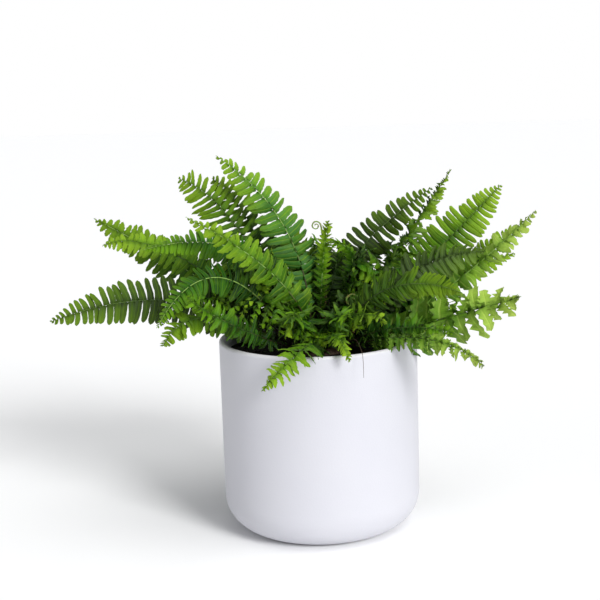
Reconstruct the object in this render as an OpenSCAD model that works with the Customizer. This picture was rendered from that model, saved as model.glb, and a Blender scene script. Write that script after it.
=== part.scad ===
// Fern in a pot: a young sword fern growing in a straight-sided ceramic pot.
// Frame: +Z up, +X to the viewer's right, -Y towards the viewer,
// with the origin at the middle of the pot's flat base.

/* [Pot] */
// Outside diameter of the pot
pot_d = 140; // [120:1:180]
// Height of the pot
pot_h = 137; // [120:1:160]
// Thickness of the pot's wall
wall = 4; // [3:0.5:6]
// Thickness of the pot's floor
pot_floor = 6; // [4:0.5:8]
// Outside radius of the rounded corner at the pot's foot
corner_r = 25; // [15:1:30]
// Diameter of the hollow under the pot's foot
foot_recess_d = 70; // [40:1:80]
// Depth of the hollow under the pot's foot
foot_recess = 1.5; // [0.5:0.5:3]

/* [Soil] */
// Gap from the rim down to the soil, which is the room for water
headspace = 10; // [8:1:20]

/* [Crown] */
// Diameter of the crown that the fronds grow from
crown_d = 44; // [30:1:60]
// Height of the crown above the soil
crown_h = 7; // [4:0.5:12]

/* [Fronds] */
// Number of low fronds at the back and the sides
skirt_count = 8; // [4:1:8]
// Number of taller fronds at the back
back_count = 7; // [4:1:7]
// Number of short fronds that fill the middle
inner_count = 9; // [4:1:9]
// Height of the ridge over the edges of a blade
ridge = 0.6; // [0.4:0.1:1]
// Depth of the midrib under the edges of a blade
keel = 1.6; // [1.2:0.1:2.4]
// Width of a frond's bare stalk
stalk_w = 3.4; // [3:0.1:4]

/* [Croziers and runners] */
// Thickness of a young frond's curled stalk
crozier_w = 2.4; // [1.6:0.1:3]
// Thickness of a wiry runner
runner_w = 0.9; // [0.6:0.1:1.5]

/* [Hidden] */
$fn = 96;
soil_z = pot_h - headspace;
rim_r = pot_d / 2;
blade_rings = 16;
rod_sides = 6;
up = [0, 0, 1];

// The fronds that give the plant its outline, all in one form:
// [name, the point halfway along, the tip, the blade's width, the way its upper face looks]
outline_fronds = [
    ["frond_left_long",      [-95, -8, 166],  [-185, -18, 156], 34, [0, -4, 1]],
    ["frond_left_upper",     [-84, 22, 177],  [-160, 40, 220],  30, [0, -2, 1]],
    ["frond_left_forked",    [-96, 12, 194],  [-152, 20, 203],  26, [0, -2, 1]],
    ["frond_left_arching",   [-47, -10, 197], [-118, -16, 204], 36, [0, -1, 1]],
    ["frond_left_drooping",  [-62, -42, 187], [-106, -60, 158], 36, [-1, -3, 2]],
    ["frond_left_low",       [-70, -50, 162], [-102, -68, 147], 34, [0, -1, 1]],
    ["frond_left_rim",       [-56, -58, 158], [-85, -68, 180],  28, [0, -2, 1]],
    ["frond_bright",         [-24, -36, 182], [-86, -34, 228],  34, [0, -2, 1]],
    ["frond_olive",          [-56, 24, 213],  [-97, 34, 248],   42, [1, -3, 1]],
    ["frond_olive_small",    [-46, 36, 212],  [-74, 48, 246],   34, [1, -3, 1]],
    ["frond_tall",           [-19, 16, 208],  [-69, 30, 264],   38, [1, -3, 1]],
    ["frond_young_upright",  [5, 10, 186],    [10, 14, 217],    18, [0, -1, 0]],
    ["frond_young_strip",    [26, 4, 184],    [11, 6, 203],     16, [0, -2, 1]],
    ["frond_right_edgewise", [59, 4, 197],    [97, 8, 251],     26, [-1, 0, 1]],
    ["frond_right_dark",     [21, 26, 181],   [86, 44, 235],    30, [0, -2, 1]],
    ["frond_right_tall",     [75, 26, 179],   [136, 40, 236],   34, [-1, -3, 1]],
    ["frond_right_ruffled",  [83, -8, 164],   [152, -14, 223],  26, [-1, -2, 1]],
    ["frond_right_forked",   [86, 6, 172],    [150, 8, 211],    22, [0, -2, 1]],
    ["frond_right_far",      [84, 40, 162],   [150, 64, 182],   28, [0, -1, 2]],
    ["frond_right_shaded",   [61, -18, 181],  [117, -16, 196],  38, [0, 2, 1]],
    ["frond_right_crisped",  [45, -46, 176],  [96, -58, 175],   36, [0, -2, 1]],
    ["frond_right_broad",    [77, -34, 151],  [136, -44, 168],  40, [0, -2, 1]],
    ["frond_right_rim",      [68, -62, 146],  [107, -80, 130],  26, [0, -1, 1]],
    ["frond_right_low",      [50, -46, 150],  [90, -64, 149],   30, [0, -2, 1]],
    ["frond_front_right",    [26, -40, 158],  [46, -58, 156],   26, [0, -1, 1]],
    ["frond_front_rim",      [-9, -76, 145],  [-37, -92, 121],  24, [0, -1, 1]],
    ["frond_front_small",    [12, -58, 148],  [20, -80, 136],   14, [0, -1, 1]]
];

// A point by its compass angle, its distance from the pot's middle line and its height
function around(angle, r, z) = [r * cos(angle), r * sin(angle), z];
// A value that steps evenly between two limits without repeating in order
function spread(i, low, high) = low + (high - low) * ((i * 0.618) % 1);

// Low fronds that arch out over the rim, from the right round the back to the left
skirt_fronds = [
    for (i = [0 : skirt_count - 1])
        let (angle = -6 + i * 186 / (skirt_count - 1), reach = spread(i, 100, 132))
        [str("frond_skirt_", i + 1), around(angle, reach * 0.55, spread(i + 2, 158, 172)),
         around(angle + 8, reach, spread(i + 1, 132, 154)), 34, up]
];

// Taller fronds that fan out behind the middle of the plant
back_fronds = [
    for (i = [0 : back_count - 1])
        let (angle = 22 + i * 136 / (back_count - 1), reach = spread(i, 92, 130))
        [str("frond_back_", i + 1), around(angle, reach * 0.45, spread(i, 176, 190)),
         around(angle - 6, reach, spread(i + 2, 166, 194)), 36, around(angle + 180, 1, 2)]
];

// Short fronds that close the middle, taller towards the back
inner_fronds = [
    for (i = [0 : inner_count - 1])
        let (angle = -130 + i * 137, reach = spread(i, 42, 62), lift = 16 * sin(angle))
        [str("frond_inner_", i + 1), around(angle, reach * 0.5, 166 + lift),
         around(angle + 10, reach, spread(i + 1, 172, 186) + lift), 26, around(angle, -1, 2)]
];

fronds = concat(outline_fronds, skirt_fronds, back_fronds, inner_fronds);

// [name, the foot on the crown, the middle of the curl, the curl's outer radius]
croziers = [
    ["crozier_middle", [2, 8, soil_z], [1, 17, 213], 3.5],
    ["crozier_left",   [-12, -8, soil_z], [-26, -22, 172], 5],
    ["crozier_right",  [14, -10, soil_z], [24, -26, 166], 5],
    ["crozier_back",   [6, 14, soil_z], [16, 38, 178], 6]
];

// [name, the points that it hangs along]
runners = [
    ["runner_front", [[14, -12, 130], [24, -44, 143], [28, -68, 141], [29, -74, 135], [29, -76, 124]]],
    ["runner_side",  [[-12, 14, 130], [-42, 40, 144], [-58, 54, 140], [-62, 60, 126], [-60, 66, 106]]]
];

function unit(v) = v / norm(v);
function ease(x) = let (c = min(max(x, 0), 1)) c * c * (3 - 2 * c);
// The height of the crown's dome at a distance from its middle
function dome(r) = soil_z + crown_h * (1 - pow(r / (crown_d / 2), 2));
// Where a frond leaves the crown: on the side that it leans to
function foot(mid) =
    let (side = [mid[0], mid[1]], r = min(norm(side) / 4, crown_d / 2 - 5))
    concat(side / norm(side) * r, [dome(r) - 1]);
// The curve through three points at its start, its half and its end
function arch(a, b, c, t) =
    a * (1 - t) * (1 - 2 * t) + b * 4 * t * (1 - t) + c * t * (2 * t - 1);
// A blade's width along its length: a bare stalk, then long sides that draw in to the tip
function taper(t) = ease((t - 0.04) / 0.26) * (1 - pow(t, 6));

// The half-open cup that both faces of the pot follow, as half of its section
module cup_section(r, h, corner) {
    translate([0, corner]) square([r, h - corner]);
    square([r - corner, corner]);
    translate([r - corner, corner]) circle(corner);
}

module pot() {
    color("white") rotate_extrude() difference() {
        union() {
            cup_section(rim_r, pot_h - wall / 2, corner_r);
            translate([rim_r - wall / 2, pot_h - wall / 2]) circle(wall / 2);
        }
        translate([0, pot_floor]) cup_section(rim_r - wall, pot_h, corner_r - wall);
        translate([0, -1]) square([foot_recess_d / 2, foot_recess + 1]);
    }
}

module potting_soil() {
    color("#2a2019") rotate_extrude() intersection() {
        translate([0, pot_floor]) cup_section(rim_r - wall, pot_h, corner_r - wall);
        square([rim_r, soil_z]);
    }
}

module crown() {
    dome_r = (pow(crown_d / 2, 2) + pow(crown_h, 2)) / (2 * crown_h);
    color("#4a3620") rotate_extrude() intersection() {
        translate([0, soil_z + crown_h - dome_r]) circle(dome_r);
        translate([0, soil_z]) square([rim_r, crown_h]);
    }
}

// A closed skin over rings that all have the same number of points, drawn to a point at the end
module skin(rings, tip) {
    n = len(rings[0]);
    last = len(rings) - 1;
    points = concat([for (ring = rings) each ring], [tip]);
    polyhedron(points, concat(
        [[for (k = [0 : n - 1]) k]],
        [for (j = [0 : last - 1], k = [0 : n - 1])
            let (a = j * n + k, b = j * n + (k + 1) % n) each [[a, a + n, b], [b, a + n, b + n]]],
        [for (k = [0 : n - 1]) [last * n + k, len(points) - 1, last * n + (k + 1) % n]]
    ));
}

// One frond: a thin blade with a ridge above and its midrib below, swept along its arch
module frond(f) {
    start = foot(f[1]);
    function along(t) = arch(start, f[1], f[2], t);
    color("forestgreen") skin([
        for (j = [0 : blade_rings - 1])
            let (
                t = j / blade_rings,
                p = along(t),
                ahead = unit(along(t + 0.01) - p),
                side = unit(cross(ahead, f[4])),
                face = cross(side, ahead),
                half = stalk_w / 2 + (f[3] - stalk_w) / 2 * taper(t)
            )
            [p + side * half, p + face * ridge, p - side * half, p - face * keel]
    ], f[2]);
}

// A round rod through a list of points
module rod(path, w) {
    last = len(path) - 1;
    color("olivedrab") skin([
        for (j = [0 : last - 1])
            let (
                ahead = unit(path[j + 1] - path[max(j - 1, 0)]),
                side = unit(cross(ahead, abs(ahead[1]) < 0.9 ? [0, 1, 0] : [1, 0, 0])),
                face = cross(side, ahead)
            )
            [for (k = [0 : rod_sides - 1])
                path[j] + (side * cos(k * 360 / rod_sides) - face * sin(k * 360 / rod_sides)) * w / 2]
    ], path[last]);
}

// A young frond, still rolled up at its top
module crozier(c) {
    foot_point = c[1];
    curl = c[2];
    top = curl + [c[3], 0, 0];
    belly = (foot_point + top) / 2 + [c[3], 0, 0];
    rod(concat(
        [for (j = [0 : 8]) arch(foot_point, belly, top, j / 8.5)],
        [for (a = [0 : 40 : 520]) curl + [cos(a), 0, sin(a)] * c[3] * (1 - a / 700)]
    ), crozier_w);
}

module runner(r) {
    rod(r[1], runner_w);
}

pot();
potting_soil();
crown();
for (f = fronds) frond(f);
for (c = croziers) crozier(c);
for (r = runners) runner(r);
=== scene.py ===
"""A young sword fern in a straight-sided ceramic pot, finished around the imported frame."""

import math

import bmesh
import bpy
from mathutils import Euler, Matrix, Vector, noise


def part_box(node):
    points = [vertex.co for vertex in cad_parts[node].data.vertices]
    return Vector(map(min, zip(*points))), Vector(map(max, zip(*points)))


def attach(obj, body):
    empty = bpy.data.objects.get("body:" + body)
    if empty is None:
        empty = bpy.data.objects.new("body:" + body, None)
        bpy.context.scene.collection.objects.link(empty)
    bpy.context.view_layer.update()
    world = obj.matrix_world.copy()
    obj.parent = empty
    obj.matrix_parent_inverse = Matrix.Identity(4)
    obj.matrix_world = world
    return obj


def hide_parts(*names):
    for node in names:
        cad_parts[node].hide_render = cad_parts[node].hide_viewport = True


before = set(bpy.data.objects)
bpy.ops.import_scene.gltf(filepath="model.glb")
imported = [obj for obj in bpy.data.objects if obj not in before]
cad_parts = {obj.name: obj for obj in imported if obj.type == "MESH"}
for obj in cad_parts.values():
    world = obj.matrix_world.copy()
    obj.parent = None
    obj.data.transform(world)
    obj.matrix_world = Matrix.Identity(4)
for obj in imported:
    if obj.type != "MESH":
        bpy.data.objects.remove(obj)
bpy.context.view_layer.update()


# The pot: one straight-sided cup of white stoneware, slip cast, with a matt glaze inside and
# out. The glaze is silky rather than glossy, with a faint mottle from the kiln, and it is
# slightly thinner and warmer along the rim.
class Link:
    """An output socket that takes part in Python arithmetic, one Math node for each step."""

    def __init__(self, graph, socket):
        self.graph = graph
        self.socket = socket

    def also(self, name):
        """Another output of the same node."""
        return Link(self.graph, self.socket.node.outputs[name])

    def __add__(self, other):
        return self.graph.maths("ADD", self, other)

    def __radd__(self, other):
        return self.graph.maths("ADD", other, self)

    def __sub__(self, other):
        return self.graph.maths("SUBTRACT", self, other)

    def __rsub__(self, other):
        return self.graph.maths("SUBTRACT", other, self)

    def __mul__(self, other):
        return self.graph.maths("MULTIPLY", self, other)

    def __rmul__(self, other):
        return self.graph.maths("MULTIPLY", other, self)

    def __truediv__(self, other):
        return self.graph.maths("DIVIDE", self, other)

    def __rtruediv__(self, other):
        return self.graph.maths("DIVIDE", other, self)

    def __pow__(self, other):
        return self.graph.maths("POWER", self, other)

    def __rpow__(self, other):
        return self.graph.maths("POWER", other, self)

    def __abs__(self):
        return self.graph.maths("ABSOLUTE", self)


class Graph:
    """A node tree under construction."""

    def __init__(self, tree):
        self.tree = tree
        self.tree.nodes.clear()

    def node(self, kind, settings=None, sockets=None, out=0):
        """Adds a node: its settings first, then the values or links of its sockets."""
        made = self.tree.nodes.new(kind)
        for name, value in (settings or {}).items():
            setattr(made, name, value)
        for name, value in (sockets or {}).items():
            if isinstance(value, (list, tuple)) and value and isinstance(value[0], Link):
                for link in value:
                    self.tree.links.new(link.socket, made.inputs[name])
            elif isinstance(value, Link):
                self.tree.links.new(value.socket, made.inputs[name])
            else:
                made.inputs[name].default_value = value
        return Link(self, made.outputs[out]) if len(made.outputs) else None

    def maths(self, operation, first, second=0.0):
        """A Math node on one or two values, of which any may be a plain number."""
        return self.node("ShaderNodeMath", {"operation": operation}, {0: first, 1: second})

    def mix(self, share, first, second):
        """A colour between two colours."""
        return self.node(
            "ShaderNodeMix", {"data_type": "RGBA"}, {0: share, 6: first, 7: second}, out=2
        )

    def ramp(self, value, low, high):
        """0 below low, 1 above high, and smooth in between."""
        return self.node(
            "ShaderNodeMapRange",
            {"interpolation_type": "SMOOTHSTEP"},
            {"Value": value, "From Min": low, "From Max": high},
        )

    def speckle(self, place, scale, detail=3.0, roughness=0.55):
        """Noise from 0 to 1 over the piece."""
        return self.node(
            "ShaderNodeTexNoise",
            {},
            {"Vector": place, "Scale": scale, "Detail": detail, "Roughness": roughness},
        )


class Finish(Graph):
    """A material under construction."""

    def __init__(self, name):
        self.material = bpy.data.materials.new(name)
        self.material.use_nodes = True
        super().__init__(self.material.node_tree)
        self.place = self.node("ShaderNodeTexCoord", out="Object")

    def relief(self, height, depth):
        """Normals for a surface whose height, from 0 to 1, stands for a depth in metres."""
        return self.node("ShaderNodeBump", {}, {"Height": height, "Distance": depth})

    def attribute(self, name):
        """A number that the piece's points carry."""
        return self.node("ShaderNodeAttribute", {"attribute_name": name}, out="Fac")

    def surface(self, shader):
        """Ends the material with its shader."""
        self.node("ShaderNodeOutputMaterial", {}, {"Surface": shader})
        return self.material


def linear(value):
    """The linear light of one everyday colour value from 0 to 255."""
    share = value / 255
    if share <= 0.04045:
        return share / 12.92
    return ((share + 0.055) / 1.055) ** 2.4


def rgb(red, green, blue):
    """A linear colour from everyday 0 to 255 values."""
    return [linear(red), linear(green), linear(blue), 1]


rim_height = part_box("pot")[1][2]
rim_band = (rim_height - 0.0022, rim_height - 0.0004)

glaze = Finish("matt_glaze")
mottle = glaze.speckle(glaze.place, 24.0, 5.0)
pinholes = glaze.speckle(glaze.place, 900.0, 2.0)
cast_height = glaze.node("ShaderNodeSeparateXYZ", {}, {0: glaze.place}, out="Z")
thin_glaze = glaze.ramp(cast_height, *rim_band)
glaze_colour = glaze.mix(mottle, rgb(199, 199, 207), rgb(205, 205, 211))
glaze_colour = glaze.mix(thin_glaze * 0.5, glaze_colour, rgb(212, 210, 208))
matt_glaze = glaze.surface(
    glaze.node(
        "ShaderNodeBsdfPrincipled",
        {},
        {
            "Base Color": glaze_colour,
            "Roughness": 0.46 + mottle * 0.12 + thin_glaze * 0.05,
            "Specular IOR Level": 0.35,
            "Normal": glaze.relief(mottle * 0.35 + pinholes * 0.65, 0.00012),
        },
    )
)
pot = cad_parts["pot"]
pot.data.materials.clear()
pot.data.materials.append(matt_glaze)


# The potting mix: dark, moist peat that fills the pot to just under its rim. Its top is lumpy
# from watering, with crumbs of bark lying on it.
soil_low, soil_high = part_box("potting_soil")
soil_radius = soil_high[0]
soil_height = soil_high[2]
soil_sides = 96
soil_steps = 30
lump_height = 0.004
edge_lump_height = 0.001
lumps_per_metre = 90
crumbs_per_metre = 260


def skin_rings(name, rings, closed_by):
    """A closed mesh over rings of points, with one more point at each end."""
    mesh = bmesh.new()
    loops = [[mesh.verts.new(point) for point in ring] for ring in rings]
    ends = [mesh.verts.new(point) for point in closed_by]
    count = len(loops[0])
    for lower, upper in zip(loops, loops[1:]):
        for k in range(count):
            after = (k + 1) % count
            mesh.faces.new((lower[k], lower[after], upper[after], upper[k]))
    for k in range(count):
        after = (k + 1) % count
        mesh.faces.new((ends[0], loops[0][after], loops[0][k]))
        mesh.faces.new((ends[1], loops[-1][k], loops[-1][after]))
    for face in mesh.faces:
        face.smooth = True
    data = bpy.data.meshes.new(name)
    mesh.to_mesh(data)
    mesh.free()
    piece = bpy.data.objects.new(name, data)
    bpy.context.scene.collection.objects.link(piece)
    return piece


def soil_ring(radius, height, lumps):
    """A ring of the potting mix, whose points rise and sink with the lumps."""
    ring = []
    for k in range(soil_sides):
        angle = 2 * math.pi * k / soil_sides
        flat = Vector((radius * math.cos(angle), radius * math.sin(angle), height))
        rise = noise.noise(flat * lumps_per_metre) * 0.6 + noise.noise(flat * crumbs_per_metre) * 0.4
        ring.append(flat + Vector((0, 0, (rise - 0.4) * lumps)))
    return ring


# The root ball is rounded below: shares of its radius, at heights above its base
rounded_foot = ((0.72, 0.0), (0.92, 0.006), (1.0, 0.022))
soil_rings = [
    soil_ring(soil_radius * share, soil_low[2] + height, 0) for share, height in rounded_foot
]
soil_rings.append(soil_ring(soil_radius, soil_height, edge_lump_height))
soil_rings += [
    soil_ring(soil_radius * (1 - step / soil_steps), soil_height, lump_height)
    for step in range(1, soil_steps)
]
potting_mix = skin_rings(
    "potting_mix", soil_rings, [(0, 0, soil_low[2]), (0, 0, soil_height)]
)

peat = Finish("moist_peat")
clumps = peat.speckle(peat.place, 160.0, 6.0, 0.7)
fibres = peat.speckle(peat.place, 700.0, 3.0)
moist_peat = peat.surface(
    peat.node(
        "ShaderNodeBsdfPrincipled",
        {},
        {
            "Base Color": peat.mix(peat.ramp(clumps, 0.35, 0.75), rgb(10, 8, 6), rgb(36, 27, 19)),
            "Roughness": 0.95 - clumps * 0.25,
            "Normal": peat.relief(clumps * 0.6 + fibres * 0.4, 0.0016),
        },
    )
)
potting_mix.data.materials.append(moist_peat)


def crumb(name, long, wide, high):
    """A crumb or a scale: a rough box with its corners knocked in."""
    mesh = bmesh.new()
    bmesh.ops.create_cube(mesh, size=1)
    bmesh.ops.subdivide_edges(mesh, edges=mesh.edges, cuts=1, use_grid_fill=True)
    for vert in mesh.verts:
        shrink = 0.74 + 0.3 * noise.noise(vert.co * 3.1)
        vert.co = Vector((vert.co.x * long, vert.co.y * wide, vert.co.z * high)) * shrink
    data = bpy.data.meshes.new(name)
    mesh.to_mesh(data)
    mesh.free()
    return bpy.data.objects.new(name, data)


class Pattern(Graph):
    """A Geometry Nodes tree under construction, with named inputs."""

    def __init__(self, name, inputs):
        group = bpy.data.node_groups.new(name, "GeometryNodeTree")
        super().__init__(group)
        group.interface.new_socket("Geometry", in_out="INPUT", socket_type="NodeSocketGeometry")
        group.interface.new_socket("Geometry", in_out="OUTPUT", socket_type="NodeSocketGeometry")
        self.names = {}
        for label, kind in inputs.items():
            socket = group.interface.new_socket(
                label, in_out="INPUT", socket_type="NodeSocket" + kind
            )
            self.names[label] = socket.identifier
        self.start = self.node("NodeGroupInput")

    def value(self, label):
        """One of the tree's named inputs."""
        return self.start.also(label)

    def ends(self, geometry):
        """Gives the tree its result."""
        self.node("NodeGroupOutput", {}, {0: geometry})

    def apply(self, piece, name, values):
        """Runs the tree on a piece and keeps the result as a plain mesh on a new piece."""
        modifier = piece.modifiers.new(name, "NODES")
        modifier.node_group = self.tree
        for label, value in values.items():
            modifier[self.names[label]] = value
        piece.update_tag()
        graph = bpy.context.evaluated_depsgraph_get()
        data = bpy.data.meshes.new_from_object(piece.evaluated_get(graph))
        piece.modifiers.remove(modifier)
        data.name = name
        made = bpy.data.objects.new(name, data)
        bpy.context.scene.collection.objects.link(made)
        return made


scatter = Pattern(
    "scattered_pieces",
    {
        "Piece": "Object",
        "Density": "Float",
        "Largest": "Float",
        "Least facing up": "Float",
        "Seed": "Int",
        "Material": "Material",
    },
)
facing_up = scatter.node(
    "ShaderNodeSeparateXYZ", {}, {0: scatter.node("GeometryNodeInputNormal")}, out="Z"
)
spots = scatter.node(
    "GeometryNodeDistributePointsOnFaces",
    {},
    {
        "Mesh": scatter.value("Geometry"),
        "Selection": scatter.maths("GREATER_THAN", facing_up, scatter.value("Least facing up")),
        "Density": scatter.value("Density"),
        "Seed": scatter.value("Seed"),
    },
)
most_tilt = 0.5
full_turn = 6.28
any_turn = scatter.node(
    "FunctionNodeRandomValue",
    {"data_type": "FLOAT_VECTOR"},
    {
        0: (-most_tilt, -most_tilt, 0.0),
        1: (most_tilt, most_tilt, full_turn),
        "Seed": scatter.value("Seed"),
    },
)
any_size = scatter.node(
    "FunctionNodeRandomValue",
    {"data_type": "FLOAT"},
    {2: 0.35, 3: 1.0, "Seed": scatter.value("Seed")},
    out=1,
)
laid = scatter.node(
    "GeometryNodeInstanceOnPoints",
    {},
    {
        "Points": spots,
        "Instance": scatter.node(
            "GeometryNodeObjectInfo", {}, {"Object": scatter.value("Piece")}, out="Geometry"
        ),
        "Rotation": scatter.node(
            "FunctionNodeRotateRotation",
            {"rotation_space": "LOCAL"},
            {
                "Rotation": spots.also("Rotation"),
                "Rotate By": scatter.node("FunctionNodeEulerToRotation", {}, {0: any_turn}),
            },
        ),
        "Scale": any_size * scatter.value("Largest"),
    },
)
scatter.ends(
    scatter.node(
        "GeometryNodeSetMaterial",
        {},
        {
            "Geometry": scatter.node("GeometryNodeRealizeInstances", {}, {0: laid}),
            "Material": scatter.value("Material"),
        },
    )
)

bark = Finish("bark_crumbs")
grain = bark.speckle(bark.place, 420.0, 4.0)
bark_crumbs_finish = bark.surface(
    bark.node(
        "ShaderNodeBsdfPrincipled",
        {},
        {
            "Base Color": bark.mix(bark.ramp(grain, 0.3, 0.7), rgb(24, 17, 11), rgb(64, 47, 32)),
            "Roughness": 0.7 + grain * 0.25,
            "Normal": bark.relief(grain, 0.0004),
        },
    )
)
bark_crumbs = scatter.apply(
    potting_mix,
    "bark_crumbs",
    {
        "Piece": crumb("crumb_of_bark", 1.0, 0.5, 0.28),
        "Density": 20000.0,
        "Largest": 0.0055,
        "Least facing up": 0.3,
        "Seed": 3,
        "Material": bark_crumbs_finish,
    },
)
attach(potting_mix, "root")
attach(bark_crumbs, "root")
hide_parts("potting_soil")


# The crown: the short upright rootstock that every frond springs from. It is a low woody
# mound, thatched with narrow brown scales that lie over one another.
crown_low, crown_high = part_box("crown")
crown_radius = crown_high[0]
crown_sides = 40
crown_steps = 9


def crown_ring(share):
    """A ring of the crown's dome, at a share of its radius."""
    height = crown_low[2] + (crown_high[2] - crown_low[2]) * (1 - share ** 2)
    ring = []
    for k in range(crown_sides):
        angle = 2 * math.pi * k / crown_sides
        x = math.cos(angle) * share * crown_radius
        y = math.sin(angle) * share * crown_radius
        ring.append(Vector((x, y, height)))
    return ring


crown_rings = [crown_ring(1 - step / crown_steps) for step in range(crown_steps)]
crown = skin_rings("crown_mound", crown_rings, [(0, 0, crown_low[2]), (0, 0, crown_high[2])])
chaff = Finish("brown_scales")
streaks = chaff.speckle(chaff.place, 520.0, 4.0)
brown_scales = chaff.surface(
    chaff.node(
        "ShaderNodeBsdfPrincipled",
        {},
        {
            "Base Color": chaff.mix(streaks, rgb(24, 16, 10), rgb(74, 50, 30)),
            "Roughness": 0.65 + streaks * 0.2,
            "Normal": chaff.relief(streaks, 0.0003),
        },
    )
)
crown.data.materials.append(brown_scales)
crown_thatch = scatter.apply(
    crown,
    "crown_thatch",
    {
        "Piece": crumb("scale_of_crown", 1.0, 0.24, 0.1),
        "Density": 260000.0,
        "Largest": 0.006,
        "Least facing up": 0.3,
        "Seed": 8,
        "Material": brown_scales,
    },
)
for piece in (crown, crown_thatch):
    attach(piece, "root")
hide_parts("crown")


# The fronds: each is one wiry midrib with two rows of leaflets that grow from it turn about,
# broad at first and shorter to the tip, where the newest are still unrolling. A leaflet is a
# thin blade with an ear beside the midrib, a scalloped edge and a sunken vein.
leaflet_forms = {
    # narrowing, bluntness of the end, ear, scallops, sickle bend, fold, rolled edge, nod, frill
    "slender": (0.10, 8.0, 0.14, 0.05, 0.30, 0.10, 0.26, 0.5, 0.0),
    "oblong": (0.14, 6.0, 0.24, 0.12, 0.20, 0.12, 0.30, 0.6, 0.05),
    "blunt": (0.32, 3.8, 0.42, 0.18, 0.15, 0.16, 0.34, 0.5, 0.12),
    "eared": (0.56, 3.6, 0.64, 0.22, 0.20, 0.16, 0.34, 0.5, 0.15),
    "crisped": (0.30, 4.0, 0.50, 0.36, 0.10, 0.20, 0.30, 0.7, 0.40),
    "young": (0.66, 3.5, 0.40, 0.22, 0.10, 0.25, 0.20, 0.3, 0.10),
}
leaflet_places = (0.0, 0.07, 0.18, 0.30, 0.43, 0.56, 0.69, 0.82, 0.93)
leaflet_lanes = (-1.0, -0.5, 0.0, 0.5, 1.0)
ear_place = 0.1
ear_length = 0.11
leaflet_thickness = 0.07


def leaflet_mesh(name, form, towards_tip):
    """A leaflet of length 1 along +X and breadth 1. Its ear is on the +Y side or the -Y side."""
    narrowing, bluntness, ear, scallops, sickle, fold, rolled, nod, frill = form
    mesh = bmesh.new()
    along_of = {}
    side_of = {}
    under_of = {}

    def point(x, t, under):
        """The point at a share x of the length and t of the half breadth, above or below."""
        half = 0.5 * (1 - narrowing * x) * math.sqrt(1 - x ** bluntness)
        if t > 0:
            half += 0.5 * ear * math.exp(-(((x - ear_place) / ear_length) ** 2))
        if x in leaflet_places[2::2] and abs(t) == 1:
            half *= 1 - scallops
        y = t * half + sickle * x * x
        z = (fold * abs(t) - rolled * t * t) * half * 2 - nod * x * x
        if x in leaflet_places[1::2]:
            z += frill * t * t * half * 2
        if under and abs(t) < 1 and 0 < x < 1:
            z -= leaflet_thickness
        vert = mesh.verts.new((x, y * towards_tip, z))
        along_of[vert] = x
        side_of[vert] = t
        under_of[vert] = 1.0 if under else 0.0
        return vert

    top = [[point(x, t, False) for t in leaflet_lanes] for x in leaflet_places]
    end = point(1.0, 0.0, False)
    below = [top[0]]
    for x, (left_edge, *_, right_edge) in zip(leaflet_places[1:], top[1:]):
        inner = [point(x, t, True) for t in leaflet_lanes[1:-1]]
        below.append([left_edge, *inner, right_edge])
    for layer, flip in ((top, False), (below, True)):
        turned = flip != (towards_tip < 0)
        for near, far in zip(layer, layer[1:]):
            for j in range(len(leaflet_lanes) - 1):
                corners = [near[j], far[j], far[j + 1], near[j + 1]]
                mesh.faces.new(corners[::-1] if turned else corners)
        for left, right in zip(layer[-1], layer[-1][1:]):
            corners = [left, end, right]
            mesh.faces.new(corners[::-1] if turned else corners)
    for face in mesh.faces:
        face.smooth = True
    for edge in mesh.edges:
        rims = [v for v in edge.verts if abs(side_of[v]) == 1 or v is end]
        edge.smooth = len(rims) < 2
    mesh.verts.index_update()
    data = bpy.data.meshes.new(name)
    mesh.to_mesh(data)
    for label, values in (("along", along_of), ("across", side_of), ("under", under_of)):
        attribute = data.attributes.new(label, "FLOAT", "POINT")
        for vert, value in values.items():
            attribute.data[vert.index].value = value
    mesh.free()
    return bpy.data.objects.new(name, data)


leaflets = {}
for form_name, form in leaflet_forms.items():
    leaflets[form_name] = (
        leaflet_mesh("leaflet_%s_right" % form_name, form, 1),
        leaflet_mesh("leaflet_%s_left" % form_name, form, -1),
    )

growth = Pattern(
    "frond_growth",
    {
        "Leaflet pairs": "Int",
        "Bare stalk": "Float",
        "Crowding": "Float",
        "Right leaflet": "Object",
        "Left leaflet": "Object",
        "Breadth": "Float",
        "Fullness": "Float",
        "Tapering": "Float",
        "Lean": "Float",
        "Droop": "Float",
        "Twist": "Float",
        "Unevenness": "Float",
        "Bushiness": "Float",
        "Ruffle": "Float",
        "Stalk radius": "Float",
        "Seed": "Int",
        "Leaf": "Material",
        "Stalk": "Material",
    },
)
midrib_points = 72
midrib = growth.node("GeometryNodeMeshToCurve", {}, {"Mesh": growth.value("Geometry")})
midrib = growth.node(
    "GeometryNodeCurveSplineType", {"spline_type": "CATMULL_ROM"}, {"Curve": midrib}
)
midrib = growth.node("GeometryNodeResampleCurve", {}, {"Curve": midrib, "Count": midrib_points})


def carried(name, kind):
    """An attribute that the midrib's or the leaflets' points carry."""
    return growth.node("GeometryNodeInputNamedAttribute", {"data_type": kind}, {"Name": name})


widest = growth.node(
    "GeometryNodeAttributeStatistic",
    {"data_type": "FLOAT", "domain": "POINT"},
    {"Geometry": midrib, "Attribute": carried("half_width", "FLOAT")},
    out="Max",
)


def at_factor(factor, kind, value):
    """What the midrib has at a share of its length."""
    return growth.node(
        "GeometryNodeSampleCurve",
        {"mode": "FACTOR", "data_type": kind, "use_all_curves": False},
        {"Curves": midrib, "Factor": factor, "Value": value},
    )


def chance(low, high, salt):
    """A random number for each leaflet."""
    return growth.node(
        "FunctionNodeRandomValue",
        {"data_type": "FLOAT"},
        {2: low, 3: high, "Seed": growth.value("Seed") + salt},
        out=1,
    )


def scaled(vector, size):
    """A vector times a number."""
    return growth.node("ShaderNodeVectorMath", {"operation": "SCALE"}, {0: vector, "Scale": size})


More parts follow.
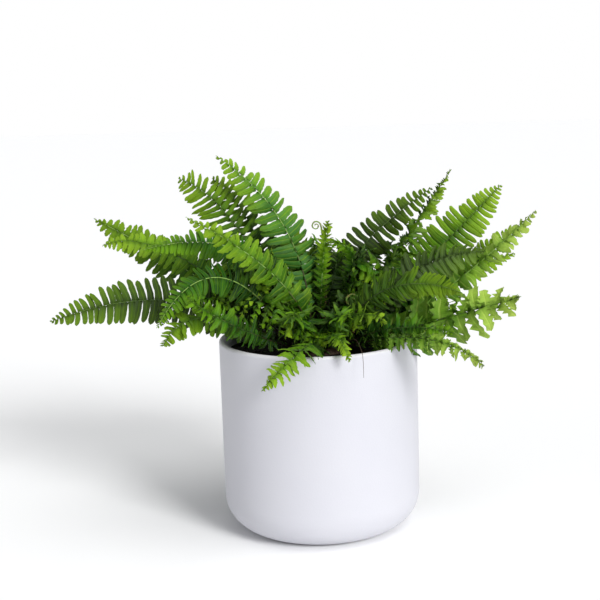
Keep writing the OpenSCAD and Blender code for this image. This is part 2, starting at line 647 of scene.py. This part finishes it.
right_row_ahead = 0.45
breadth_falloff = 0.45
tip_falloff = 2.5


def leaflet_row(side, salt):
    """One row of leaflets: side is 1 for the midrib's right and -1 for its left.

    The salt keeps the row's chances apart from those of the other row."""
    pairs = growth.value("Leaflet pairs")
    bare = growth.value("Bare stalk")
    uneven = growth.value("Unevenness")
    ahead = right_row_ahead if side > 0 else 0.0
    step = (growth.node("GeometryNodeInputIndex") + ahead) / pairs
    share = 1 - (1 - step) ** growth.value("Crowding")
    factor = bare + (1 - bare) * share
    spot = at_factor(factor, "FLOAT", carried("half_width", "FLOAT"))
    face = at_factor(factor, "FLOAT_VECTOR", carried("face", "FLOAT_VECTOR"))
    out = growth.node(
        "ShaderNodeVectorMath", {"operation": "CROSS_PRODUCT"}, {0: spot.also("Tangent"), 1: face}
    )
    drawn_in = 1 - share ** tip_falloff * growth.value("Tapering")
    reach = spot * growth.value("Fullness") * drawn_in * (1 + chance(-0.12, 0.08, salt) * uneven)
    breadth = growth.value("Breadth") * (spot * drawn_in / widest) ** breadth_falloff
    breadth = breadth * (1 + chance(-0.12, 0.12, salt + 1) * uneven)
    twist = growth.value("Twist") * side + chance(-0.5, 0.5, salt + 2) * uneven
    droop = growth.value("Droop") + chance(-0.22, 0.22, salt + 3) * uneven
    droop = droop + chance(-1.0, 1.0, salt + 6) * growth.value("Bushiness")
    lean = growth.value("Lean") * side * (1 + share * 0.6) + chance(-0.12, 0.12, salt + 4) * uneven
    turn = growth.node("ShaderNodeCombineXYZ", {}, {0: twist, 1: droop, 2: lean})
    upright = growth.node(
        "FunctionNodeAxesToRotation",
        {"primary_axis": "X", "secondary_axis": "Z"},
        {0: scaled(out, float(side)), 1: face},
    )
    points = growth.node(
        "GeometryNodePoints", {}, {"Count": pairs, "Position": spot.also("Position")}
    )
    row = growth.node(
        "GeometryNodeInstanceOnPoints",
        {},
        {
            "Points": points,
            "Instance": growth.node(
                "GeometryNodeObjectInfo",
                {},
                {"Object": growth.value("Right leaflet" if side > 0 else "Left leaflet")},
                out="Geometry",
            ),
            "Rotation": growth.node(
                "FunctionNodeRotateRotation",
                {"rotation_space": "LOCAL"},
                {0: upright, 1: growth.node("FunctionNodeEulerToRotation", {}, {0: turn})},
            ),
            "Scale": growth.node("ShaderNodeCombineXYZ", {}, {0: reach, 1: breadth, 2: breadth}),
        },
    )
    for name, value in (("tone", chance(0.0, 1.0, salt + 5)), ("reach", share)):
        row = growth.node(
            "GeometryNodeStoreNamedAttribute",
            {"domain": "INSTANCE", "data_type": "FLOAT"},
            {"Geometry": row, "Name": name, "Value": value},
        )
    return row


rows = growth.node(
    "GeometryNodeJoinGeometry", {}, {0: [leaflet_row(1, 10), leaflet_row(-1, 30)]}
)
rows = growth.node("GeometryNodeRealizeInstances", {}, {0: rows})
waves = growth.node(
    "ShaderNodeTexNoise", {"noise_dimensions": "3D"}, {"Scale": 130.0, "Detail": 1.0}, out="Color"
)
centred = growth.node(
    "ShaderNodeVectorMath", {"operation": "SUBTRACT"}, {0: waves, 1: (0.5, 0.5, 0.5)}
)
outer = carried("along", "FLOAT") * 0.75 + abs(carried("across", "FLOAT")) * 0.25
rows = growth.node(
    "GeometryNodeSetPosition",
    {},
    {"Geometry": rows, "Offset": scaled(centred, growth.value("Ruffle") * outer)},
)
rows = growth.node(
    "GeometryNodeSetMaterial", {}, {"Geometry": rows, "Material": growth.value("Leaf")}
)
whole_length = growth.node("GeometryNodeSplineParameter")
stalk = growth.node(
    "GeometryNodeStoreNamedAttribute",
    {"domain": "POINT", "data_type": "FLOAT"},
    {"Geometry": midrib, "Name": "reach", "Value": whole_length},
)
stalk = growth.node(
    "GeometryNodeCurveToMesh",
    {},
    {
        "Curve": stalk,
        "Profile Curve": growth.node(
            "GeometryNodeCurvePrimitiveCircle", {}, {"Resolution": 6, "Radius": 1.0}
        ),
        "Scale": growth.value("Stalk radius") * (1 - 0.78 * whole_length),
        "Fill Caps": True,
    },
)
stalk = growth.node(
    "GeometryNodeSetMaterial", {}, {"Geometry": stalk, "Material": growth.value("Stalk")}
)
growth.ends(growth.node("GeometryNodeJoinGeometry", {}, {0: [rows, stalk]}))


vein_pitch = 48
vein_slant = 9


def leaf_finish(name, shaded, open_leaf, tip, see_through, roughness):
    """Living leaf: painted shade at the frond's foot and at each leaflet's base, paler veins, a
    painted highlight along the edges, and a dull underside.
    """
    leaf = Finish(name)
    reach = leaf.attribute("reach")
    tone = leaf.attribute("tone")
    along = leaf.attribute("along")
    across = abs(leaf.attribute("across"))
    under = leaf.attribute("under")
    cloud = leaf.speckle(leaf.place, 90.0, 4.0)
    vein = 1 - leaf.ramp(across, 0.04, 0.16)
    side_veins = abs(leaf.maths("SINE", along * vein_pitch + across * vein_slant))
    # Painted shade: the leaf is darker at the frond's foot and lighter further out
    out_of_painted_shade = leaf.ramp(reach + (tone - 0.5) * 0.35, 0.1, 0.95)
    colour = leaf.mix(out_of_painted_shade, rgb(*shaded), rgb(*open_leaf))
    colour = leaf.mix(leaf.ramp(reach + along * 0.3, 0.6, 1.25), colour, rgb(*tip))
    colour = leaf.mix(leaf.ramp(cloud, 0.45, 0.8) * 0.3, colour, rgb(*tip))
    # A paler midvein, and a painted highlight along each leaflet's edges
    colour = leaf.mix(vein * 0.35 + leaf.ramp(across, 0.72, 1.0) * 0.18, colour, rgb(*tip))
    # Painted shade at each leaflet's base, beside the midrib
    colour = leaf.mix((1 - leaf.ramp(along, 0.02, 0.34)) * 0.42, colour, rgb(*shaded))
    colour = leaf.mix(side_veins * leaf.ramp(across, 0.1, 0.5) * 0.16, colour, rgb(*shaded))
    dull = leaf.mix(0.35, colour, rgb(150, 178, 120))
    colour = leaf.mix(under * 0.6, colour, dull)
    skin = leaf.node(
        "ShaderNodeBsdfPrincipled",
        {},
        {
            "Base Color": colour,
            "Roughness": roughness + cloud * 0.15 + under * 0.15,
            "Specular IOR Level": 0.38,
            "Normal": leaf.relief(side_veins * 0.45 - vein * 0.7 + cloud * 0.5, 0.0004),
        },
    )
    glow = leaf.node("ShaderNodeBsdfTranslucent", {}, {"Color": colour})
    return leaf.surface(
        leaf.node("ShaderNodeMixShader", {}, {0: see_through, 1: skin, 2: glow})
    )


leaf_finishes = {
    "mature": leaf_finish("mature_leaf", (22, 54, 0), (60, 114, 0), (126, 174, 12), 0.27, 0.42),
    "fresh": leaf_finish("fresh_leaf", (18, 60, 0), (58, 132, 0), (140, 194, 24), 0.31, 0.34),
    # Painted shade: a darker copy of the leaf for fronds that lie in shade
    "painted_shade": leaf_finish("deep_leaf", (30, 50, 0), (62, 96, 0), (118, 158, 10), 0.25, 0.46),
    "bright": leaf_finish("bright_leaf", (48, 100, 0), (120, 176, 2), (180, 220, 48), 0.31, 0.42),
    "olive": leaf_finish("olive_leaf", (40, 80, 0), (90, 142, 0), (150, 190, 22), 0.35, 0.46),
    # Painted sheen: a bluish grey tint in the green stands for the reflection of the pale room
    "green_painted_sheen": leaf_finish("bluish_leaf", (58, 116, 38), (102, 164, 22), (168, 212, 44), 0.28, 0.36),
    "pale": leaf_finish("pale_leaf", (84, 138, 22), (160, 206, 58), (214, 238, 112), 0.37, 0.46),
    "young": leaf_finish("young_leaf", (60, 122, 0), (136, 194, 12), (194, 228, 58), 0.42, 0.46),
}


def midrib_finish(name, foot, middle, tip):
    """A wiry, faintly scaly stalk, brown at its foot and green where the leaflets grow."""
    rib = Finish(name)
    reach = rib.attribute("reach")
    fleck = rib.speckle(rib.place, 380.0)
    colour = rib.mix(rib.ramp(reach + fleck * 0.1, 0.3, 0.6), rgb(*foot), rgb(*middle))
    return rib.surface(
        rib.node(
            "ShaderNodeBsdfPrincipled",
            {},
            {
                "Base Color": rib.mix(rib.ramp(reach, 0.5, 1.0), colour, rgb(*tip)),
                "Roughness": 0.45 + fleck * 0.2,
                "Normal": rib.relief(fleck, 0.0002),
            },
        )
    )


midribs = {
    "dark": midrib_finish("dark_midrib", (44, 34, 14), (50, 76, 16), (96, 130, 34)),
    "pale": midrib_finish("pale_midrib", (56, 50, 18), (126, 164, 70), (150, 184, 84)),
}


merge_distance = 1e-5
tip_half_width = 0.0008


def rings_from_tip(node):
    """A swept node's rings of points, read back from its tip to its foot.

    The tip is the one point from which the skin can be walked in rings of equal number."""
    mesh = bmesh.new()
    mesh.from_mesh(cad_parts[node].data)
    bmesh.ops.remove_doubles(mesh, verts=mesh.verts, dist=merge_distance)
    for tip in mesh.verts:
        seen = {tip}
        rings = [[tip]]
        while rings[-1]:
            following = []
            for vert in rings[-1]:
                for edge in vert.link_edges:
                    other = edge.other_vert(vert)
                    if other not in seen:
                        seen.add(other)
                        following.append(other)
            rings.append(following)
        if len({len(ring) for ring in rings[1:-1]}) == 1:
            break
    points = [[v.co.copy() for v in ring] for ring in rings[:-1]]
    mesh.free()
    return points


def midrib_stations(node):
    """Points along a frond from foot to tip, each with the half width and the upper side there."""
    (tip,), *rings = rings_from_tip(node)
    stations = []
    for ring in rings:
        pairs = [(a, b) for i, a in enumerate(ring) for b in ring[i + 1:]]
        left, right = max(pairs, key=lambda pair: (pair[0] - pair[1]).length)
        middle = (left + right) / 2
        others = [point for point in ring if point is not left and point is not right]
        ridge, keel = sorted(others, key=lambda point: (point - middle).length)
        stations.append((middle, (left - right).length / 2, (ridge - keel).normalized()))
    stations.insert(0, (tip, tip_half_width, stations[0][2]))
    return stations[::-1]


def chain_of(name, middles):
    """A chain of edges through a list of points."""
    data = bpy.data.meshes.new(name)
    data.from_pydata(middles, [(i, i + 1) for i in range(len(middles) - 1)], [])
    chain = bpy.data.objects.new(name, data)
    bpy.context.scene.collection.objects.link(chain)
    return chain


# Thickness, spacing, breadth and ruffle are in metres, and lean, droop, twist and bushiness in
# radians. Fullness is a leaflet's length over the frond's half width, and bare is the share of
# the stalk without leaflets. Crowding over 1 draws the leaflets together towards the tip, and
# tapering shortens them there. Bushiness is how far chance lifts or lowers a leaflet, and
# unevenness multiplies the other chance differences in its size and turn.
usual_habit = {
    "form": "oblong",
    "finish": "mature",
    "midrib": "dark",
    "thickness": 0.0006,
    "spacing": 0.0052,
    "breadth": 0.0050,
    "fullness": 1.0,
    "crowding": 1.25,
    "tapering": 0.12,
    "lean": 0.1,
    "droop": 0.12,
    "twist": 0.2,
    "unevenness": 0.9,
    "bushiness": 0.0,
    "ruffle": 0.003,
    "bare": 0.16,
}
frond_habits = {
    "slender": {
        "form": "slender", "spacing": 0.0051, "breadth": 0.0055, "unevenness": 0.7, "ruffle": 0.002,
    },
    "shaded": {
        "form": "slender", "finish": "painted_shade", "spacing": 0.0050, "breadth": 0.0053, "lean": 0.02,
    },
    "fine": {"form": "slender", "spacing": 0.0036, "breadth": 0.0040, "ruffle": 0.002},
    "oblong": {
        "finish": "green_painted_sheen", "midrib": "pale", "spacing": 0.0060, "breadth": 0.0068, "lean": 0.16,
    },
    "olive": {"finish": "olive", "spacing": 0.0054, "breadth": 0.0044, "twist": 0.3, "lean": 0.2},
    "blunt": {
        "form": "blunt", "finish": "bright", "midrib": "pale", "spacing": 0.0056,
        "breadth": 0.0076, "tapering": 0.15,
    },
    "eared": {
        "form": "eared", "finish": "bright", "midrib": "pale", "spacing": 0.0056,
        "breadth": 0.0078, "unevenness": 1.4, "ruffle": 0.005, "bushiness": 0.2,
    },
    "crisped": {
        "form": "crisped", "finish": "pale", "spacing": 0.0050, "breadth": 0.0074,
        "unevenness": 1.4, "ruffle": 0.007, "twist": 0.3, "bushiness": 0.3,
    },
    "filler": {
        "form": "blunt", "spacing": 0.0027, "breadth": 0.0042, "unevenness": 2.0, "ruffle": 0.006,
        "twist": 0.3, "fullness": 0.76, "bare": 0.04, "bushiness": 0.8,
    },
    "heart": {
        "form": "eared", "spacing": 0.0023, "breadth": 0.0050, "unevenness": 2.0, "ruffle": 0.007,
        "twist": 0.3, "fullness": 1.35, "bare": 0.03, "bushiness": 1.0,
    },
    "young": {
        "form": "young", "finish": "young", "midrib": "pale", "spacing": 0.0036,
        "breadth": 0.0052, "lean": 0.2, "unevenness": 1.4, "bushiness": 0.3,
    },
}
# The habit of each frond that has a character of its own, and what it has differently. The
# others are fillers, or heart fronds in the middle, and take the filler finishes in turn.
frond_plan = {
    "frond_left_long": ("slender", {"fullness": 1.12, "finish": "painted_shade"}),
    "frond_left_upper": ("blunt", {"finish": "olive", "fullness": 1.15, "tapering": 0.0}),
    "frond_left_forked": ("blunt", {"spacing": 0.0054, "breadth": 0.0060, "midrib": "dark"}),
    "frond_left_arching": (
        "fine", {"finish": "fresh", "midrib": "pale", "breadth": 0.0044, "fullness": 0.85},
    ),
    "frond_left_drooping": (
        "fine",
        {"finish": "fresh", "midrib": "pale", "breadth": 0.0040, "bare": 0.34, "fullness": 0.76},
    ),
    "frond_left_low": (
        "fine", {"finish": "olive", "ruffle": 0.005, "fullness": 0.85, "unevenness": 1.3},
    ),
    "frond_left_rim": ("filler", {"finish": "fresh", "spacing": 0.0030}),
    "frond_bright": (
        "blunt",
        {
            "unevenness": 1.4, "ruffle": 0.005, "spacing": 0.0053, "breadth": 0.0070,
            "fullness": 0.82, "bushiness": 0.15, "bare": 0.06,
        },
    ),
    "frond_olive": ("olive", {}),
    "frond_olive_small": ("olive", {}),
    "frond_tall": ("oblong", {"tapering": 0.3}),
    "frond_young_upright": ("young", {"bare": 0.2, "fullness": 0.85}),
    "frond_young_strip": (
        "eared", {"finish": "fresh", "bare": 0.1, "spacing": 0.0040, "breadth": 0.0062},
    ),
    "frond_right_edgewise": (
        "crisped",
        {
            "finish": "bright", "fullness": 1.3, "tapering": 0.85, "spacing": 0.0046,
            "breadth": 0.0080, "bushiness": 0.9,
        },
    ),
    "frond_right_dark": ("shaded", {"fullness": 1.2}),
    "frond_right_tall": (
        "slender",
        {"finish": "bright", "spacing": 0.0044, "breadth": 0.0052, "fullness": 1.3, "lean": 0.02},
    ),
    "frond_right_ruffled": (
        "blunt",
        {"finish": "pale", "ruffle": 0.008, "unevenness": 1.6, "bushiness": 0.4, "fullness": 1.1},
    ),
    "frond_right_forked": ("fine", {"finish": "bright"}),
    "frond_right_far": ("eared", {}),
    "frond_right_shaded": (
        "oblong", {"finish": "painted_shade", "midrib": "dark", "spacing": 0.0046, "breadth": 0.0054},
    ),
    "frond_right_crisped": (
        "fine",
        {
            "finish": "olive", "spacing": 0.0020, "breadth": 0.0027, "ruffle": 0.005,
            "unevenness": 1.2, "bushiness": 0.25, "lean": 0.35, "fullness": 0.8,
        },
    ),
    "frond_right_broad": (
        "crisped", {"spacing": 0.0078, "breadth": 0.0130, "fullness": 1.15, "tapering": 0.0},
    ),
    "frond_right_rim": (
        "crisped", {"spacing": 0.0044, "breadth": 0.0056, "fullness": 0.68, "tapering": 0.0},
    ),
    "frond_right_low": ("filler", {"finish": "fresh"}),
    "frond_front_right": ("filler", {"finish": "bright"}),
    "frond_front_rim": (
        "eared", {"spacing": 0.0044, "breadth": 0.0060, "midrib": "dark", "fullness": 1.15},
    ),
    "frond_front_small": ("young", {}),
    "frond_inner_1": ("young", {"finish": "mature", "fullness": 0.5}),
}
filler_finishes = ("fresh", "mature", "bright", "fresh", "painted_shade", "fresh", "bright")
# The fronds with young and with bright leaves, and a table of their leaf names. The others are
# mature.
young_fronds = (
    "frond_young_upright", "frond_young_strip", "frond_front_rim", "frond_front_small",
    "frond_left_rim",
)
bright_fronds = (
    "frond_bright", "frond_left_upper", "frond_left_forked", "frond_right_tall",
    "frond_right_ruffled", "frond_right_forked", "frond_right_broad", "frond_right_crisped",
    "frond_right_rim", "frond_right_far",
)
leaf_slots = dict.fromkeys(young_fronds, "young_leaf")
leaf_slots.update(dict.fromkeys(bright_fronds, "bright_leaf"))


def grow(name, stations, habit, seed):
    """Grows a frond's leaflets and stalk along its stations, as one piece."""
    middles = [middle for middle, half_width, face in stations]
    length = sum((far - near).length for near, far in zip(middles, middles[1:]))
    chain = chain_of(name + "_chain", middles)
    half_widths = chain.data.attributes.new("half_width", "FLOAT", "POINT")
    half_widths.data.foreach_set("value", [station[1] for station in stations])
    faces = chain.data.attributes.new("face", "FLOAT_VECTOR", "POINT")
    faces.data.foreach_set("vector", [part for station in stations for part in station[2]])
    right_leaflet, left_leaflet = leaflets[habit["form"]]
    frond = growth.apply(
        chain,
        name,
        {
            "Leaflet pairs": round(length * (1 - habit["bare"]) / habit["spacing"]),
            "Bare stalk": habit["bare"],
            "Crowding": habit["crowding"],
            "Right leaflet": right_leaflet,
            "Left leaflet": left_leaflet,
            "Breadth": habit["breadth"],
            "Fullness": habit["fullness"],
            "Tapering": habit["tapering"],
            "Lean": habit["lean"],
            "Droop": habit["droop"],
            "Twist": habit["twist"],
            "Unevenness": habit["unevenness"],
            "Bushiness": habit["bushiness"],
            "Ruffle": habit["ruffle"],
            "Stalk radius": habit["thickness"],
            "Seed": seed,
            "Leaf": leaf_finishes[habit["finish"]],
            "Stalk": midribs[habit["midrib"]],
        },
    )
    bpy.data.objects.remove(chain)
    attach(frond, "root")
    return frond


first_frond_seed = 100
frond_nodes = sorted(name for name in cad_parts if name.startswith("frond_"))
for number, node in enumerate(frond_nodes):
    common_habit = "heart" if "inner" in node else "filler"
    filler_finish = filler_finishes[number % len(filler_finishes)]
    habit_name, own = frond_plan.get(node, (common_habit, {"finish": filler_finish}))
    habit = {**usual_habit, **frond_habits[habit_name], **own}
    frond = grow(node + "_leaves", midrib_stations(node), habit, first_frond_seed + number)
    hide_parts(node)


# The undergrowth: the plant's many small side fronds, which arch out from the crown over the
# soil. They lie low in front and stand higher on the left, and the longest ones at the sides
# and the back reach past the rim. Their leaflets are soft and broad.
undergrowth_count = 60
undergrowth_foot = 0.008
undergrowth_half_width = 0.0155
least_reach = 0.054
least_lift = 0.026
most_added = 0.048
arch_steps = 11
arch_bend = 0.8 * math.pi
first_undergrowth_seed = 300
# The golden turn and the golden shares spread the fronds without a pattern that shows
golden_turn = math.radians(137.5)
golden_share = 0.618
golden_rest = 0.382
undergrowth_kinds = (
    ("eared", "fresh"),
    ("blunt", "mature"),
    ("eared", "bright"),
    ("blunt", "fresh"),
    ("eared", "mature"),
)
undergrowth_habit = {
    **usual_habit,
    "spacing": 0.0052,
    "breadth": 0.0080,
    "unevenness": 1.8,
    "ruffle": 0.006,
    "bushiness": 0.45,
    "bare": 0.2,
    "thickness": 0.0004,
}


def low_arch(angle, reach, lift):
    """Stations along a small frond that rises from the crown and bends down over the soil.

    It is widest a little before its middle."""
    out = Vector((math.cos(angle), math.sin(angle), 0))
    up = Vector((0, 0, 1))
    stations = []
    for step in range(arch_steps + 1):
        share = step / arch_steps
        middle = out * (undergrowth_foot + (reach - undergrowth_foot) * share)
        middle += up * (soil_height + lift * math.sin(arch_bend * share))
        slope = lift * arch_bend * math.cos(arch_bend * share) / (reach - undergrowth_foot)
        half_width = undergrowth_half_width * math.sin(math.pi * (0.2 + 0.76 * share))
        stations.append((middle, half_width, (up - out * slope).normalized()))
    return stations


for number in range(undergrowth_count):
    form, finish = undergrowth_kinds[number % len(undergrowth_kinds)]
    angle = number * golden_turn
    towards_front = max(0.0, -math.sin(angle))
    towards_left = max(0.0, -math.cos(angle))
    reach = least_reach + most_added * ((number * golden_share) % 1)
    reach *= 1 - 0.35 * towards_front
    lift = least_lift + most_added * ((number * golden_rest) % 1)
    lift *= 1 + 0.35 * towards_left - 0.7 * towards_front
    frond = grow(
        "undergrowth_%d" % (number + 1),
        low_arch(angle, reach, lift),
        {**undergrowth_habit, "form": form, "finish": finish},
        first_undergrowth_seed + number,
    )


# The croziers: the youngest fronds, still rolled up like a watch spring at the top of a bare
# stalk. They are soft and green, and covered in fine tan scales that rub off as they open.
stem_points = 120
stem = Pattern("round_stem", {"Stoutness": "Float", "Sides": "Int", "Material": "Material"})
stem_line = stem.node("GeometryNodeMeshToCurve", {}, {"Mesh": stem.value("Geometry")})
stem_line = stem.node(
    "GeometryNodeCurveSplineType", {"spline_type": "CATMULL_ROM"}, {"Curve": stem_line}
)
stem_line = stem.node(
    "GeometryNodeResampleCurve", {}, {"Curve": stem_line, "Count": stem_points}
)
stem_length = stem.node("GeometryNodeSplineParameter")
stem_line = stem.node(
    "GeometryNodeStoreNamedAttribute",
    {"domain": "POINT", "data_type": "FLOAT"},
    {"Geometry": stem_line, "Name": "reach", "Value": stem_length},
)
stem_skin = stem.node(
    "GeometryNodeCurveToMesh",
    {},
    {
        "Curve": stem_line,
        "Profile Curve": stem.node(
            "GeometryNodeCurvePrimitiveCircle",
            {},
            {"Resolution": stem.value("Sides"), "Radius": 1.0},
        ),
        "Scale": stem.value("Stoutness") * (1 - 0.6 * stem_length ** 2),
        "Fill Caps": True,
    },
)
stem.ends(
    stem.node(
        "GeometryNodeSetMaterial",
        {},
        {
            "Geometry": stem.node("GeometryNodeRealizeInstances", {}, {0: stem_skin}),
            "Material": stem.value("Material"),
        },
    )
)


def middle_chain(node):
    """A chain of points along the middle of a rod, from its foot to its tip."""
    rings = rings_from_tip(node)[::-1]
    return chain_of(node + "_chain", [sum(ring, Vector()) / len(ring) for ring in rings])


# Less than any normal's upward part, so that the scales sit all round the stalk
any_side = -2.0
tan_scale = crumb("tan_scale", 1.0, 0.3, 0.12)
tan_scales = Finish("tan_scales")
tan_fleck = tan_scales.speckle(tan_scales.place, 600.0)
tan_scales_finish = tan_scales.surface(
    tan_scales.node(
        "ShaderNodeBsdfPrincipled",
        {},
        {
            "Base Color": tan_scales.mix(tan_fleck, rgb(120, 92, 50), rgb(176, 150, 96)),
            "Roughness": 0.7 + tan_fleck * 0.2,
            "Normal": tan_scales.relief(tan_fleck, 0.0002),
        },
    )
)
unrolling = midrib_finish("crozier_skin", (78, 66, 26), (84, 120, 36), (120, 154, 58))
for node in sorted(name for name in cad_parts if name.startswith("crozier_")):
    chain = middle_chain(node)
    crozier = stem.apply(
        chain, node + "_stalk", {"Stoutness": 0.0009, "Sides": 10, "Material": unrolling}
    )
    bpy.data.objects.remove(chain)
    scales = scatter.apply(
        crozier,
        node + "_scales",
        {
            "Piece": tan_scale,
            "Density": 500000.0,
            "Largest": 0.0018,
            "Least facing up": any_side,
            "Seed": 5,
            "Material": tan_scales_finish,
        },
    )
    for piece in (crozier, scales):
        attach(piece, "root")
    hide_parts(node)


# The runners: thread-like brown stolons that the plant lets down over the rim to root beside
# it. Each is a dry, slightly kinked wire, and one hangs down the front of the pot.
dry_wire = midrib_finish("dry_wire", (70, 50, 34), (62, 46, 34), (84, 66, 50))
for node in sorted(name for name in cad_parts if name.startswith("runner_")):
    chain = middle_chain(node)
    runner = stem.apply(
        chain, node + "_wire", {"Stoutness": 0.0003, "Sides": 6, "Material": dry_wire}
    )
    bpy.data.objects.remove(chain)
    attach(runner, "root")
    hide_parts(node)


# The floor, lights and camera: a plain pale floor in a pale room. A soft key light comes from
# the front right, a wider one from above, and a weak reflector stands at the front left.
floor_edge = 6
floor_corners = [
    (-floor_edge, -floor_edge, 0),
    (floor_edge, -floor_edge, 0),
    (floor_edge, floor_edge, 0),
    (-floor_edge, floor_edge, 0),
]
floor_mesh = bpy.data.meshes.new("floor")
floor_mesh.from_pydata(floor_corners, [], [(0, 1, 2, 3)])
floor = bpy.data.objects.new("floor", floor_mesh)
bpy.context.scene.collection.objects.link(floor)
paper = Finish("pale_floor")
floor_mesh.materials.append(
    paper.surface(
        paper.node(
            "ShaderNodeBsdfPrincipled", {}, {"Base Color": rgb(254, 254, 254), "Roughness": 0.9}
        )
    )
)

world = bpy.data.worlds.new("pale_room")
bpy.context.scene.world = world
world.use_nodes = True
room = Graph(world.node_tree)
lit = room.node("ShaderNodeBackground", {}, {"Color": (0.95, 0.97, 1.0, 1), "Strength": 0.28})
seen = room.node("ShaderNodeBackground", {}, {"Color": (1, 1, 1, 1), "Strength": 1.0})
looked_at = room.node("ShaderNodeLightPath", out="Is Camera Ray")
room.node(
    "ShaderNodeOutputWorld",
    {},
    {"Surface": room.node("ShaderNodeMixShader", {}, {0: looked_at, 1: lit, 2: seen})},
)


def daylight(name, direction, strength, spread):
    """A far light that shines along a direction, with a soft edge to its shadows."""
    light = bpy.data.lights.new(name, "SUN")
    light.energy = strength
    light.angle = math.radians(spread)
    lamp = bpy.data.objects.new(name, light)
    lamp.rotation_euler = Vector(direction).to_track_quat("-Z", "Y").to_euler()
    bpy.context.scene.collection.objects.link(lamp)


daylight("key", (-0.54, 0.72, -0.47), 2.5, 20)
daylight("top", (-0.30, 0.20, -1.0), 1.25, 50)
daylight("reflector", (0.75, 0.65, -0.12), 0.5, 60)

view_distance = 0.9
view_angle = math.radians(10.39)
view_roll = math.radians(-1.74)
aim_height = 0.1625
camera_data = bpy.data.cameras.new("camera")
camera_data.lens = 76.6
camera_data.sensor_width = 36
camera_data.shift_x = -0.028
camera = bpy.data.objects.new("camera", camera_data)
camera.location = (
    0,
    -view_distance * math.cos(view_angle),
    aim_height + view_distance * math.sin(view_angle),
)
tilt = Euler((math.pi / 2 - view_angle, 0, 0)).to_matrix()
camera.rotation_euler = (tilt @ Matrix.Rotation(view_roll, 3, "Z")).to_euler()
bpy.context.scene.collection.objects.link(camera)
bpy.context.scene.camera = camera
bpy.context.scene.view_settings.view_transform = "Standard"
